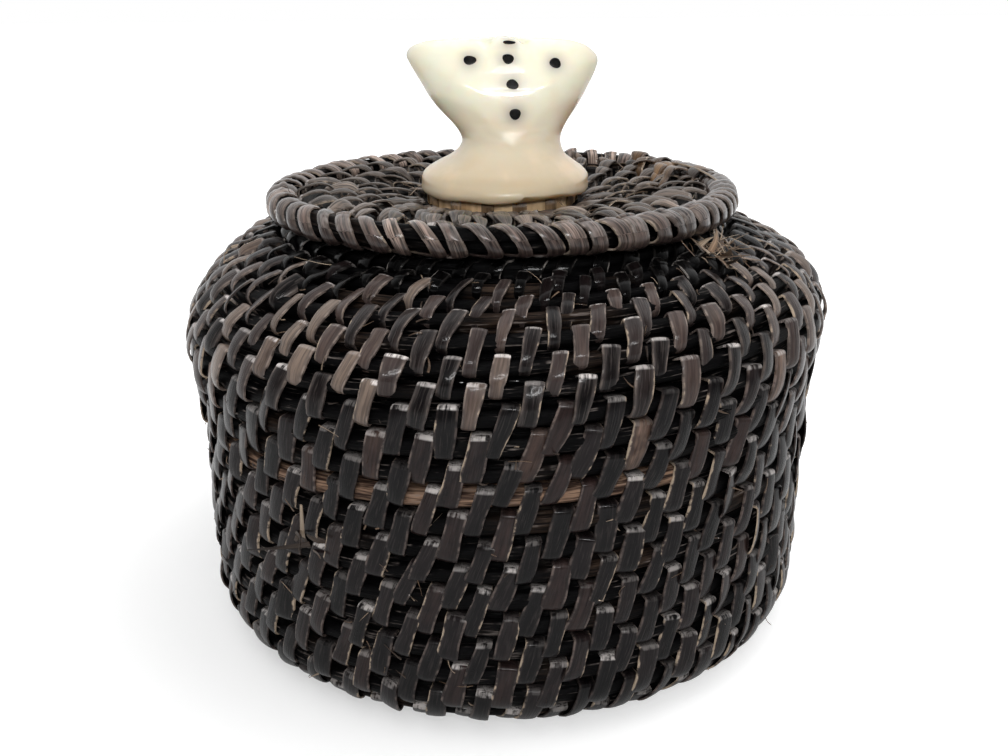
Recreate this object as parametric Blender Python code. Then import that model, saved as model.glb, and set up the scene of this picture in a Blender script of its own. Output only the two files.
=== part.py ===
"""A small lidded basket of coiled baleen, with drilled ivory starting discs and a whale-tail finial.

The coil starts at a disc in the middle of the base, winds out to the heel, up the wall, over the
shoulder and ends in a round course at the mouth. The lid is coiled the same way from its own disc,
and a short coiled flange under it drops into the mouth.

Units are metres, +Z is up, and the origin is the middle of the base, on the surface it stands on.
"""

import math

import bmesh
import bpy
from mathutils import Matrix, Vector

# Clearances between pieces
GAP = 0.0003                    # between pieces that touch
FLANGE_CLEARANCE = 0.0008       # lid flange inside the mouth, all round
INLAY_CLEARANCE = 0.0001        # plug in its drilled hole, all round
PEG_CLEARANCE = 0.0003          # peg in the disc and in the finial, all round

# The coil: one turn of stitched baleen
COIL_PITCH = 0.0034             # from one course to the next
SHOULDER_PITCH = 0.00255        # the same on the shoulder, where the courses lie closer
SHOULDER_PITCH_START = 0.0014   # how far past the start of the shoulder they begin to
COIL_START = math.radians(-62)  # where the coil leaves the base's disc, to the right of the front
COIL_THICKNESS = 0.0038         # through the wall, over the stitches
VALLEY_DEPTH = 0.0012           # of the groove between two courses
CREST_SHARE = 0.56              # of a course's width that stands at full height

# The body, measured on its outer surface
FOOT_RADIUS = 0.0270            # of the flat middle of the base, which it stands on
BASE_RISE = 0.0012              # how far the base has risen where the heel begins
HEEL_RADIUS = 0.0080            # of the rounded edge between base and wall
WALL_RADIUS = 0.0438
FLARE_START = 0.0330            # height where the wall begins to swell
BULGE = 0.0012                  # how far the widest course stands out over the wall
BULGE_HEIGHT = 0.0445
SHOULDER_RADIUS = 0.0120        # of the arc from the bulge towards the mouth
SHOULDER_TURN = math.radians(64)
SHOULDER_RISE = 0.0149          # from the bulge to the top of the course at the mouth
MOUTH_RADIUS = 0.0275           # clear radius of the opening

# The starting discs of base and lid
DISC_RADIUS = 0.0104
DISC_THICKNESS = 0.0016
DISC_HOLES = 14
DISC_HOLE_RADIUS = 0.00065
DISC_HOLE_MARGIN = 0.0017       # from the disc's edge to the middle of a hole

# The lid
LID_OVERHANG = 0.0052           # how far the lid reaches beyond the opening
LID_THICKNESS = 0.0030
LID_COIL_START = math.radians(115)  # where the coil leaves the lid's disc
LID_DISH = 0.0018               # how far the courses beside the disc lie below the rim
LID_DISC_DROP = 0.0003          # how far the disc's middle lies below the rim's
FLANGE_THICKNESS = 0.0030
FLANGE_COURSES = 2
FLANGE_PITCH = 0.0030

# The finial
FINIAL_HEIGHT = 0.0202
RIDGE_HALF_WIDTH = 0.0018       # of the raised line down the middle of the tail
RIDGE_SHARE = 0.13              # of the depth that the ridge adds, and the grooves take off
RIDGE_FOOT = 0.45               # share of the height where the ridge starts
RIDGE_FULL = 0.85               # and where it reaches its full depth
NOTCH_DEPTH = 0.0005            # of the dips in the top edge beside the ridge
NOTCH_FOOT = 0.80               # share of the height from which the tail follows the dips
PEG_RADIUS = 0.0015
PEG_SOCKET_DEPTH = 0.0040
INLAY_RADIUS = 0.0008
INLAY_DEPTH = 0.0012
INLAY_PROUD = 0.0001

# The finial's outline at shares of its height: how far it reaches to the left of its axis, to the
# right of it, and to the front and back. It was carved by hand, and its two sides differ.
FINIAL_OUTLINE = (
    (0.000, 0.0108, 0.0106, 0.0106),
    (0.030, 0.0114, 0.0113, 0.0111),
    (0.070, 0.0117, 0.0117, 0.0114),
    (0.105, 0.0117, 0.0117, 0.0112),
    (0.145, 0.0112, 0.0110, 0.0104),
    (0.190, 0.0098, 0.0097, 0.0088),
    (0.240, 0.0078, 0.0086, 0.0069),
    (0.290, 0.0063, 0.0080, 0.0057),
    (0.345, 0.0060, 0.0080, 0.0052),
    (0.400, 0.0064, 0.0082, 0.0050),
    (0.460, 0.0072, 0.0087, 0.0049),
    (0.520, 0.0084, 0.0094, 0.0049),
    (0.580, 0.0095, 0.0102, 0.0048),
    (0.640, 0.0104, 0.0109, 0.0046),
    (0.700, 0.0111, 0.0115, 0.0043),
    (0.760, 0.0117, 0.0120, 0.0038),
    (0.820, 0.0123, 0.0125, 0.0032),
    (0.865, 0.0129, 0.0126, 0.0027),
    (0.900, 0.0131, 0.0121, 0.0023),
    (0.940, 0.0122, 0.0108, 0.0019),
    (0.975, 0.0110, 0.0095, 0.0014),
    (1.000, 0.0094, 0.0078, 0.0008),
)

# The inlaid plugs: how far each lies to the right, as a share of the finial's half-width there, its
# share of the finial's height, and how far its drilling tips up from level, in degrees.
INLAYS = (
    ("inlay_left_lobe", -0.34, 0.870, 0),
    ("inlay_right_lobe", 0.55, 0.855, 0),
    ("inlay_crest", 0.12, 0.975, 50),
    ("inlay_upper", 0.07, 0.875, 0),
    ("inlay_middle", 0.09, 0.720, 0),
    ("inlay_lower", 0.11, 0.525, 0),
)

# How finely round shapes are divided
ARC_STEPS = 12
FLARE_STEPS = 8
ROUND_STEPS = 32
TUBE_STEPS = 10
FINIAL_STEPS = 28
ROD_STEPS = 12
HOLE_STEPS = 8

# Levels and radii that follow from the sizes above. The lid's levels are measured from its seat,
# the level on which it lies, and the finial's from its foot.
HALF_COIL = COIL_THICKNESS / 2
BULGE_RADIUS = WALL_RADIUS + BULGE
RIM_HEIGHT = BULGE_HEIGHT + SHOULDER_RISE
RIM_CENTRE_RADIUS = MOUTH_RADIUS + HALF_COIL
RIM_CENTRE_HEIGHT = RIM_HEIGHT - HALF_COIL
LID_SEAT = RIM_HEIGHT + GAP
LID_RIM_CENTRE_RADIUS = MOUTH_RADIUS + LID_OVERHANG - HALF_COIL
LID_DISC_MIDDLE = HALF_COIL - LID_DISC_DROP
LID_DISC_TOP = LID_DISC_MIDDLE + DISC_THICKNESS / 2
FLANGE_MIDDLE_RADIUS = MOUTH_RADIUS - FLANGE_CLEARANCE - FLANGE_THICKNESS / 2


def clear_scene():
    for thing in list(bpy.data.objects):
        bpy.data.objects.remove(thing, do_unlink=True)


def make_material(name, colour, roughness):
    material = bpy.data.materials.new(name)
    material.use_nodes = True
    shader = material.node_tree.nodes["Principled BSDF"]
    shader.inputs["Base Color"].default_value = (*colour, 1.0)
    shader.inputs["Roughness"].default_value = roughness
    shader.inputs["Metallic"].default_value = 0.0
    return material


def make_holder(name, height, parent=None):
    """An empty on the basket's axis, at the level that its pieces are measured from."""
    holder = bpy.data.objects.new(name, None)
    holder.location = (0, 0, height)
    holder.parent = parent
    bpy.context.scene.collection.objects.link(holder)
    return holder


def add_object(name, holder, bm, material, smooth_angle=40):
    """Turns a bmesh into a named object with its faces pointing out and its round parts smooth."""
    bmesh.ops.recalc_face_normals(bm, faces=bm.faces)
    mesh = bpy.data.meshes.new(name)
    bm.to_mesh(mesh)
    bm.free()
    mesh.materials.append(material)
    mesh.shade_smooth()
    mesh.set_sharp_from_angle(angle=math.radians(smooth_angle))
    thing = bpy.data.objects.new(name, mesh)
    thing.parent = holder
    bpy.context.scene.collection.objects.link(thing)
    return thing


def cut(target, cutter):
    """Takes the cutter's shape out of the target, and keeps the cutter as a hidden guide."""
    cutter.hide_render = True
    cutter.display_type = "WIRE"
    boolean = target.modifiers.new("cut_" + cutter.name, "BOOLEAN")
    boolean.operation = "DIFFERENCE"
    boolean.object = cutter


# Outlines in the (radius, height) plane


def arc_points(centre, radius, first_angle, last_angle, steps=ARC_STEPS):
    angles = [first_angle + (last_angle - first_angle) * i / steps for i in range(steps + 1)]
    return [(centre[0] + radius * math.cos(a), centre[1] + radius * math.sin(a)) for a in angles]


def ease(share):
    share = min(max(share, 0.0), 1.0)
    return share * share * (3 - 2 * share)


class Track:
    """The middle line of a coiled wall, read by the distance along it. side is +1 if the outer
    face lies to the right of the way it runs, and -1 if it lies to the left."""

    def __init__(self, points, side=1):
        self.points = [Vector(p) for p in points]
        self.side = side
        self.reach = [0.0]
        for a, b in zip(self.points, self.points[1:]):
            self.reach.append(self.reach[-1] + (b - a).length)
        self.length = self.reach[-1]

    def at(self, distance):
        distance = min(max(distance, 0.0), self.length)
        for i in range(1, len(self.reach)):
            if distance <= self.reach[i]:
                break
        share = (distance - self.reach[i - 1]) / (self.reach[i] - self.reach[i - 1])
        return self.points[i - 1].lerp(self.points[i], share)

    def outward(self, distance):
        step = COIL_PITCH / 4
        way = (self.at(distance + step) - self.at(distance - step)).normalized()
        return Vector((way.y, -way.x)) * self.side

    def offset(self, distance, height):
        return self.at(distance) + self.outward(distance) * height


def body_track():
    """From the edge of the base's disc to the course at the mouth, with the distances at which the
    heel, the wall and the shoulder start."""
    wall_middle = WALL_RADIUS - HALF_COIL
    bulge_middle = BULGE_RADIUS - HALF_COIL
    heel_centre = (WALL_RADIUS - HEEL_RADIUS, BASE_RISE + HEEL_RADIUS)
    shoulder_centre = (BULGE_RADIUS - SHOULDER_RADIUS, BULGE_HEIGHT)
    points = [(DISC_RADIUS + GAP, HALF_COIL), (FOOT_RADIUS, HALF_COIL)]
    heel = len(points)
    points += arc_points(heel_centre, HEEL_RADIUS - HALF_COIL, -math.pi / 2, 0.0)
    wall = len(points) - 1
    for i in range(FLARE_STEPS):
        share = i / FLARE_STEPS
        height = FLARE_START + (BULGE_HEIGHT - FLARE_START) * share
        points.append((wall_middle + (bulge_middle - wall_middle) * ease(share), height))
    shoulder = len(points)
    points += arc_points(shoulder_centre, SHOULDER_RADIUS - HALF_COIL, 0.0, SHOULDER_TURN)
    points.append((RIM_CENTRE_RADIUS, RIM_CENTRE_HEIGHT))
    track = Track(points)
    return track, [track.reach[i] for i in (heel, wall, shoulder)]


def lid_track():
    first = (DISC_RADIUS + GAP, HALF_COIL - LID_DISH)
    return Track([first, (LID_RIM_CENTRE_RADIUS, HALF_COIL)], side=-1)


def flange_track():
    """Up the flange, to just below the lid's underside at the flange's inner edge."""
    inner_radius = FLANGE_MIDDLE_RADIUS - FLANGE_THICKNESS / 2
    slope = LID_DISH / (LID_RIM_CENTRE_RADIUS - DISC_RADIUS - GAP)
    lid_middle_there = HALF_COIL - slope * (LID_RIM_CENTRE_RADIUS - inner_radius)
    top = lid_middle_there - LID_THICKNESS / 2 - GAP
    bottom = top - FLANGE_COURSES * FLANGE_PITCH
    return Track([(FLANGE_MIDDLE_RADIUS, bottom), (FLANGE_MIDDLE_RADIUS, top)])


# Coiled walls


class Spiral:
    """How far along its track a coil has climbed after so many turns. It climbs by one pitch in each
    turn to the right, and by close_pitch from the distance close_from on."""

    def __init__(self, pitch, start_angle, close_from=math.inf, close_pitch=None):
        self.pitch = pitch
        self.start = start_angle / (2 * math.pi) % 1.0
        self.close_from = close_from
        self.close_pitch = close_pitch or pitch

    def distance(self, turns):
        climbed = self.pitch * turns
        past = max(0.0, climbed - self.close_from)
        return climbed - past + past * self.close_pitch / self.pitch

    def turns(self, distance):
        past = max(0.0, distance - self.close_from)
        return (distance - past) / self.pitch + past / self.close_pitch


def course_height(share, full, depth):
    """Height of the outer face over the middle line, at a share of the way across one course."""
    share = share % 1.0
    flank = (1 - CREST_SHARE) / 2
    return full - depth * max(0.0, 1 - min(share, 1 - share) / flank)


def turned(point, step):
    angle = 2 * math.pi * step / ROUND_STEPS
    return (point.x * math.sin(angle), -point.x * math.cos(angle), point.y)


def coiled_wall(name, holder, track, start, end, material, spiral, thickness):
    """A wall between two distances along a track, whose outer face carries the coil's courses. They
    are the turns of a spiral and not rings."""
    half = thickness / 2
    flank = (1 - CREST_SHARE) / 2
    shares = (0.0, flank, 1 - flank)
    first = math.floor(spiral.turns(start)) - 1
    last = math.ceil(spiral.turns(end)) + 1
    lines = [row + share for row in range(first, last + 1) for share in shares]
    bm = bmesh.new()

    def outer_vertex(step, line):
        turn = step / ROUND_STEPS - spiral.start
        distance = min(max(spiral.distance(line + turn), start), end)
        height = course_height(spiral.turns(distance) - turn, half, VALLEY_DEPTH)
        return bm.verts.new(turned(track.offset(distance, height), step))

    grid = [[outer_vertex(step, line) for line in lines] for step in range(ROUND_STEPS + 1)]
    for column, following in zip(grid, grid[1:]):
        for i in range(len(lines) - 1):
            bm.faces.new((column[i], following[i], following[i + 1], column[i + 1]))

    inner_lines = max(1, round((end - start) / spiral.pitch))
    inner = []
    for step in range(ROUND_STEPS + 1):
        distances = [start + (end - start) * i / inner_lines for i in range(inner_lines + 1)]
        inner.append([bm.verts.new(turned(track.offset(d, -half), step)) for d in distances])
    for column, following in zip(inner, inner[1:]):
        for i in range(inner_lines):
            bm.faces.new((column[i], column[i + 1], following[i + 1], following[i]))
    for step in range(ROUND_STEPS):
        bm.faces.new((grid[step][0], inner[step][0], inner[step + 1][0], grid[step + 1][0]))
        bm.faces.new((grid[step][-1], grid[step + 1][-1], inner[step + 1][-1], inner[step][-1]))
    bmesh.ops.remove_doubles(bm, verts=bm.verts, dist=1e-6)
    return add_object(name, holder, bm, material, smooth_angle=25)


def round_course(name, holder, centre_radius, centre_height, material):
    """A single round course, such as the one that finishes a mouth or a lid's edge."""
    bm = bmesh.new()
    centre = (centre_radius, centre_height)
    section = arc_points(centre, HALF_COIL, 0.0, 2 * math.pi, TUBE_STEPS)[:-1]
    loops = []
    for step in range(ROUND_STEPS):
        loops.append([bm.verts.new(turned(Vector(p), step)) for p in section])
    for step in range(ROUND_STEPS):
        here, following = loops[step], loops[(step + 1) % ROUND_STEPS]
        for i in range(TUBE_STEPS):
            j = (i + 1) % TUBE_STEPS
            bm.faces.new((here[i], following[i], following[j], here[j]))
    return add_object(name, holder, bm, material, smooth_angle=60)


# Discs, pegs and plugs


def add_cylinder(bm, radius, start, end, steps):
    start, end = Vector(start), Vector(end)
    turn = (end - start).to_track_quat("Z", "Y").to_matrix().to_4x4()
    bmesh.ops.create_cone(
        bm, cap_ends=True, segments=steps, radius1=radius, radius2=radius,
        depth=(end - start).length, matrix=Matrix.Translation((start + end) / 2) @ turn,
    )


def rod(name, holder, radius, start, end, material, steps=ROD_STEPS):
    """A solid rod between two points."""
    bm = bmesh.new()
    add_cylinder(bm, radius, start, end, steps)
    return add_object(name, holder, bm, material)


def ring_of_drills(name, holder, bottom, top, material):
    """The drills for a disc's ring of stitch holes, as one guide."""
    bm = bmesh.new()
    circle = DISC_RADIUS - DISC_HOLE_MARGIN
    for i in range(DISC_HOLES):
        angle = 2 * math.pi * i / DISC_HOLES
        x, y = circle * math.cos(angle), circle * math.sin(angle)
        add_cylinder(bm, DISC_HOLE_RADIUS, (x, y, bottom), (x, y, top), HOLE_STEPS)
    return add_object(name, holder, bm, material)


def starting_disc(name, holder, middle, material):
    bottom, top = middle - DISC_THICKNESS / 2, middle + DISC_THICKNESS / 2
    disc = rod(name, holder, DISC_RADIUS, (0, 0, bottom), (0, 0, top), material, 2 * DISC_HOLES)
    drills = ring_of_drills(name + "_drills", holder, bottom - GAP, top + GAP, material)
    cut(disc, drills)
    return disc


# The finial


def hump(distance, width):
    return math.exp(-((distance / width) ** 2))


def finial_point(share, left, right, half_depth, angle):
    """A point on the finial's surface: plain sections low down, and a ridged tail higher up."""
    x = (right - left) / 2 + (right + left) / 2 * math.cos(angle)
    y = half_depth * math.sin(angle)
    tail = ease((share - RIDGE_FOOT) / (RIDGE_FULL - RIDGE_FOOT))
    ridge = hump(x, RIDGE_HALF_WIDTH)
    groove = hump(abs(x) - 2 * RIDGE_HALF_WIDTH, RIDGE_HALF_WIDTH)
    y *= 1 + RIDGE_SHARE * tail * (ridge - groove)
    notch = NOTCH_DEPTH * hump(abs(x) - 2 * RIDGE_HALF_WIDTH, RIDGE_HALF_WIDTH / 2)
    z = FINIAL_HEIGHT * share - notch * ease((share - NOTCH_FOOT) / (1 - NOTCH_FOOT))
    return Vector((x, y, z))


def tail_finial(holder, material):
    bm = bmesh.new()
    loops = []
    for share, left, right, half_depth in FINIAL_OUTLINE:
        angles = [2 * math.pi * i / FINIAL_STEPS for i in range(FINIAL_STEPS)]
        points = [finial_point(share, left, right, half_depth, a) for a in angles]
        loops.append([bm.verts.new(p) for p in points])
    for low, high in zip(loops, loops[1:]):
        for i in range(FINIAL_STEPS):
            j = (i + 1) % FINIAL_STEPS
            bm.faces.new((low[i], low[j], high[j], high[i]))
    bm.faces.new(loops[0])
    bm.faces.new(loops[-1])
    return add_object("finial_tail", holder, bm, material, smooth_angle=50)


def front_of_finial(across, share):
    """The point on the finial's front at a share of its half-width and a share of its height."""
    for low, high in zip(FINIAL_OUTLINE, FINIAL_OUTLINE[1:]):
        if share <= high[0]:
            break
    part = (share - low[0]) / (high[0] - low[0])
    left, right, half_depth = [a + (b - a) * part for a, b in zip(low[1:], high[1:])]
    return finial_point(share, left, right, half_depth, -math.acos(across))


def inlay(name, holder, tail, across, share, tip, material):
    """A plug in a blind hole drilled into the finial's front."""
    spot = front_of_finial(across, share)
    out = Vector((0, -math.cos(math.radians(tip)), math.sin(math.radians(tip))))
    seat = spot - out * INLAY_DEPTH
    rod(name, holder, INLAY_RADIUS, seat, spot + out * INLAY_PROUD, material)
    start, end = seat - out * INLAY_CLEARANCE, spot + out * INLAY_DEPTH
    cut(tail, rod(name + "_drill", holder, INLAY_RADIUS + INLAY_CLEARANCE, start, end, material))


# The whole basket


def build_body(holder, baleen, ivory):
    track, (heel, wall, shoulder) = body_track()
    close_from = shoulder + SHOULDER_PITCH_START
    size = (baleen, Spiral(COIL_PITCH, COIL_START, close_from, SHOULDER_PITCH), COIL_THICKNESS)
    seam = GAP / 2
    shoulder_end = track.length - HALF_COIL - GAP
    starting_disc("base_start_disc", holder, HALF_COIL, ivory)
    coiled_wall("base_courses", holder, track, 0.0, heel - seam, *size)
    coiled_wall("heel_courses", holder, track, heel + seam, wall - seam, *size)
    coiled_wall("wall_courses", holder, track, wall + seam, shoulder - seam, *size)
    coiled_wall("shoulder_courses", holder, track, shoulder + seam, shoulder_end, *size)
    round_course("mouth_course", holder, RIM_CENTRE_RADIUS, RIM_CENTRE_HEIGHT, baleen)


def build_lid(holder, baleen, ivory):
    track = lid_track()
    end = track.length - HALF_COIL - GAP
    disc = starting_disc("lid_start_disc", holder, LID_DISC_MIDDLE, ivory)
    spiral = Spiral(COIL_PITCH, LID_COIL_START)
    coiled_wall("lid_courses", holder, track, 0.0, end, baleen, spiral, LID_THICKNESS)
    round_course("lid_rim_course", holder, LID_RIM_CENTRE_RADIUS, HALF_COIL, baleen)
    flange = flange_track()
    size = (baleen, Spiral(FLANGE_PITCH, LID_COIL_START), FLANGE_THICKNESS)
    coiled_wall("lid_flange_courses", holder, flange, 0.0, flange.length, *size)
    return disc


def build_finial(holder, lid_disc, baleen, ivory):
    tail = tail_finial(holder, ivory)
    disc_bottom = (0, 0, -GAP - DISC_THICKNESS)
    below_disc = (0, 0, -2 * GAP - DISC_THICKNESS)
    peg_top = (0, 0, PEG_SOCKET_DEPTH - PEG_CLEARANCE)
    rod("finial_peg", holder, PEG_RADIUS, disc_bottom, peg_top, baleen)
    bore, top = PEG_RADIUS + PEG_CLEARANCE, (0, 0, PEG_SOCKET_DEPTH)
    drill = rod("finial_peg_drill", holder, bore, below_disc, top, ivory)
    cut(lid_disc, drill)
    cut(tail, drill)
    for name, across, share, tip in INLAYS:
        inlay(name, holder, tail, across, share, tip, baleen)


def main():
    clear_scene()
    baleen = make_material("baleen", (0.045, 0.038, 0.036), 0.38)
    ivory = make_material("ivory", (0.86, 0.80, 0.68), 0.22)
    basket = make_holder("basket", 0.0)
    lid = make_holder("lid", LID_SEAT, basket)
    finial = make_holder("finial", LID_DISC_TOP + GAP, lid)
    build_body(basket, baleen, ivory)
    lid_disc = build_lid(lid, baleen, ivory)
    build_finial(finial, lid_disc, baleen, ivory)


main()
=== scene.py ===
from math import cos, pi, radians, sin

import bpy
import numpy as np
from mathutils import Matrix, Vector


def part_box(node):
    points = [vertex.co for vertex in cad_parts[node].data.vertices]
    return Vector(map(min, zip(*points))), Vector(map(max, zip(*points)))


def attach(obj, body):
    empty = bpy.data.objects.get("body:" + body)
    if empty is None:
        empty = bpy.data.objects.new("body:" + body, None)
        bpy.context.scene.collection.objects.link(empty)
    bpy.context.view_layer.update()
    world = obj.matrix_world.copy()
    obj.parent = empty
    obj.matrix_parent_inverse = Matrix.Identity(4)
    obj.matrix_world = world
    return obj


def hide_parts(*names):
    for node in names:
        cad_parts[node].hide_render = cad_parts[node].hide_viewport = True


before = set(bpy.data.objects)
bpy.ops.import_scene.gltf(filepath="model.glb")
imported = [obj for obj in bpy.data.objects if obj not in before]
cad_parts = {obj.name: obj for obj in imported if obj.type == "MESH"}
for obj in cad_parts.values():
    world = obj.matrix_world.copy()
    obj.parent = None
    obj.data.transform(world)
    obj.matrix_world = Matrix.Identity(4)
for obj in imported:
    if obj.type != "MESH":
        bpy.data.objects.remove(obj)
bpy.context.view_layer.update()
mm = 0.001
print("frame loaded:", len(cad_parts), "nodes")


# shader maths

class Wire:
    def __init__(self, finish, socket):
        self.finish, self.socket = finish, socket

    def pair(self, other, operation, swapped=False):
        a, b = (other, self) if swapped else (self, other)
        kinds = [w.socket.type for w in (a, b) if isinstance(w, Wire)]
        if "RGBA" in kinds:
            return self.finish.add("ShaderNodeMix", {"data_type": "RGBA", "blend_type": operation},
                                   {0: 1.0, 6: a, 7: b}, 2)
        kind = "ShaderNodeVectorMath" if "VECTOR" in kinds else "ShaderNodeMath"
        return self.finish.add(kind, {"operation": operation}, {0: a, 1: b})

    def __add__(self, other):
        return self.pair(other, "ADD")

    def __radd__(self, other):
        return self.pair(other, "ADD", True)

    def __sub__(self, other):
        return self.pair(other, "SUBTRACT")

    def __rsub__(self, other):
        return self.pair(other, "SUBTRACT", True)

    def __mul__(self, other):
        return self.pair(other, "MULTIPLY")

    def __rmul__(self, other):
        return self.pair(other, "MULTIPLY", True)

    def __abs__(self):
        return self.finish.add("ShaderNodeMath", {"operation": "ABSOLUTE"}, {0: self})

    def most(self, other):
        return self.pair(other, "MAXIMUM")

    def rise(self, low, high):  # 0 below low, 1 above high, smooth between
        return self.finish.add("ShaderNodeMapRange", {"interpolation_type": "SMOOTHSTEP"},
                               {"Value": self, "From Min": low, "From Max": high})


class Finish:  # of a material, or of the world
    def __init__(self, name, sockets, owners=bpy.data.materials, shader="Principled BSDF"):
        self.owner = owners.new(name)
        self.owner.use_nodes = True
        self.tree = self.owner.node_tree
        self.shader = self.tree.nodes[shader]
        self.set(sockets)

    def add(self, kind, settings=None, sockets=None, out=0):
        node = self.tree.nodes.new(kind)
        for key, value in (settings or {}).items():
            if key == "stops":  # a ramp's (position, colour) pairs
                elements = node.color_ramp.elements
                while len(elements) < len(value):
                    elements.new(0.5)
                for element, (position, colour) in zip(elements, value):
                    element.position, element.color = position, (*colour, 1.0)
            else:
                setattr(node, key, value)
        for key, value in (sockets or {}).items():
            self.plug(node.inputs[key], value)
        return Wire(self, node.outputs[out])

    def plug(self, socket, value):
        if isinstance(value, Wire):
            self.tree.links.new(value.socket, socket)
            return
        if socket.type in ("RGBA", "VECTOR") and not isinstance(value, tuple):
            value = (value, value, value)
        socket.default_value = (*value, 1.0) if socket.type == "RGBA" else value

    def set(self, sockets):
        for name, value in sockets.items():
            self.plug(self.shader.inputs[name], value)
        return self.owner

    def mark(self, name):  # a number kept on each vertex of the mesh
        return self.add("ShaderNodeAttribute", {"attribute_name": name}, out="Fac")

    def place(self):
        return self.add("ShaderNodeTexCoord", out="Object")

    def axis(self, at, name):
        return self.add("ShaderNodeSeparateXYZ", None, {0: at}, name)

    def noise(self, at, detail=2.0, roughness=0.5, scale=1.0):
        if isinstance(at, tuple):
            at = self.add("ShaderNodeCombineXYZ", None, dict(enumerate(at)))
        return self.add("ShaderNodeTexNoise", None,
                        {"Vector": at, "Scale": scale, "Detail": detail, "Roughness": roughness})

    def blend(self, share, a, b):
        return self.add("ShaderNodeMix", {"data_type": "RGBA"}, {0: share, 6: a, 7: b}, 2)

    def bump(self, height, distance, strength=1.0):
        sockets = {"Height": height, "Distance": distance, "Strength": strength}
        return self.add("ShaderNodeBump", None, sockets)


# finishes

stripLook = {
    # from blue-black through grey and red-brown to the few tan ones
    "tones": ((0.0, (0.0006, 0.0005, 0.0008)), (0.32, (0.0022, 0.0016, 0.002)),
              (0.56, (0.0085, 0.0056, 0.006)), (0.76, (0.03, 0.017, 0.015)),
              (0.9, (0.066, 0.04, 0.0305)), (1.0, (0.19, 0.125, 0.094))),
    "soft": (0.011, 0.0088, 0.0088),  # painted shade towards each strip's sides
    "thinEdge": (0.26, 0.2, 0.175),  # edges are thin and let light through
    "tornEdge": (0.42, 0.33, 0.245),
    "worn": (0.5, 0.465, 0.445),  # on the fold: partly real wear, partly a painted highlight
    "fibre": (0.034, 0.027, 0.026),
    "fibreShare": 0.5,
    "shade": 0.35,  # how much the long streaks darken and lighten
    "gloss": 0.12,
    "coat": 0.34,
    "coatRoughness": 0.11,
    "roughness": 0.2,
    "bumpHeight": 0.08 * mm,
}

# painted light: lighter strips for the shoulder, which faces the light from above, with brighter painted
# highlights on the folds
shoulderStripLook = dict(
    stripLook,
    tones=((0.0, (0.002, 0.0015, 0.0018)), (0.28, (0.01, 0.0075, 0.0075)),
           (0.55, (0.034, 0.024, 0.0225)), (0.82, (0.075, 0.052, 0.045)), (1.0, (0.18, 0.135, 0.108))),
    soft=(0.06, 0.05, 0.047),
    fibre=(0.085, 0.07, 0.064),
    thinEdge=(0.36, 0.285, 0.24),
    worn=(0.8, 0.74, 0.71),
)

# painted shade: a near-black copy of the strips for the neck, where the lid's rim shades it
neckShadeStripLook = dict(
    stripLook,
    tones=((0.0, (0.0005, 0.0005, 0.0006)), (0.6, (0.0016, 0.0013, 0.0014)), (1.0, (0.009, 0.006, 0.006))),
    soft=(0.003, 0.0027, 0.0027),
    thinEdge=(0.05, 0.045, 0.042),
    tornEdge=(0.22, 0.2, 0.185),
    worn=(0.24, 0.225, 0.215),
    fibre=(0.007, 0.0065, 0.0065),
    gloss=0.03,
    coat=0.38,
)

lidStripLook = dict(
    stripLook,
    tones=((0.0, (0.011, 0.0086, 0.0077)), (0.3, (0.04, 0.03, 0.025)),
           (0.7, (0.128, 0.098, 0.08)), (1.0, (0.29, 0.217, 0.168))),
    soft=(0.075, 0.06, 0.05),
    thinEdge=(0.21, 0.175, 0.15),
    tornEdge=(0.27, 0.215, 0.165),
    fibre=(0.185, 0.153, 0.132),
    fibreShare=0.55,
    shade=0.85,
    gloss=0.25,
    coat=0.28,
    roughness=0.34,
)

lowLidRim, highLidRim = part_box("lid_rim_course")
rimMiddle = (lowLidRim.z + highLidRim.z) / 2

rimStripLook = dict(
    lidStripLook,
    shadedBelow=rimMiddle - 1.3 * mm,  # painted shade: below, the strips are painted dark, and pale above
    litAbove=rimMiddle + 0.9 * mm,
    underside=(0.034, 0.019, 0.018),
    tones=((0.0, (0.016, 0.0112, 0.0106)), (0.5, (0.118, 0.082, 0.069)), (1.0, (0.42, 0.315, 0.26))),
    thinEdge=(0.37, 0.29, 0.245),
    fibre=(0.35, 0.265, 0.22),
    fibreShare=0.36,
    roughness=0.24,
    shade=0.95,
    coat=0.62,
    coatRoughness=0.06,
)

lashingLook = dict(
    stripLook,
    tones=((0.0, (0.12, 0.072, 0.04)), (0.5, (0.2, 0.125, 0.07)), (1.0, (0.34, 0.22, 0.125))),
    soft=(0.26, 0.17, 0.095),
    thinEdge=(0.17, 0.115, 0.065),
    fibre=(0.15, 0.1, 0.055),
)

frayLook = dict(
    stripLook,
    tones=((0.0, (0.02, 0.014, 0.011)), (0.35, (0.075, 0.052, 0.038)), (0.7, (0.23, 0.15, 0.095)),
           (1.0, (0.5, 0.4, 0.3))),
)

amberFrayLook = dict(
    stripLook,
    tones=((0.0, (0.02, 0.014, 0.011)), (0.5, (0.07, 0.04, 0.022)), (1.0, (0.2, 0.115, 0.055))),
)

rodLook = {
    "black": (0.0007, 0.0006, 0.0008),
    "tan": (0.34, 0.215, 0.145),
    "tanShade": (0.045, 0.026, 0.02),
    # pale fibre streaks, partly painted glints
    "strand": (0.17, 0.145, 0.132),
    "gloss": 0.08,
    "roughness": 0.42,
    "bumpHeight": 0.22 * mm,
}

ivoryLook = {
    # painted shade and light: darker at the foot, lighter towards the top
    "low": (0.555, 0.46, 0.325),
    "high": (0.96, 0.905, 0.735),
    "warm": (0.86, 0.66, 0.47),
    "holeShade": (0.3, 0.31, 0.32),
    "roughness": 0.2,
    "coatRoughness": 0.015,
    "glow": (0.65, (1.0, 0.7, 0.45), 5.0 * mm),  # how much light goes in, how far by colour, and scale
}

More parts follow.
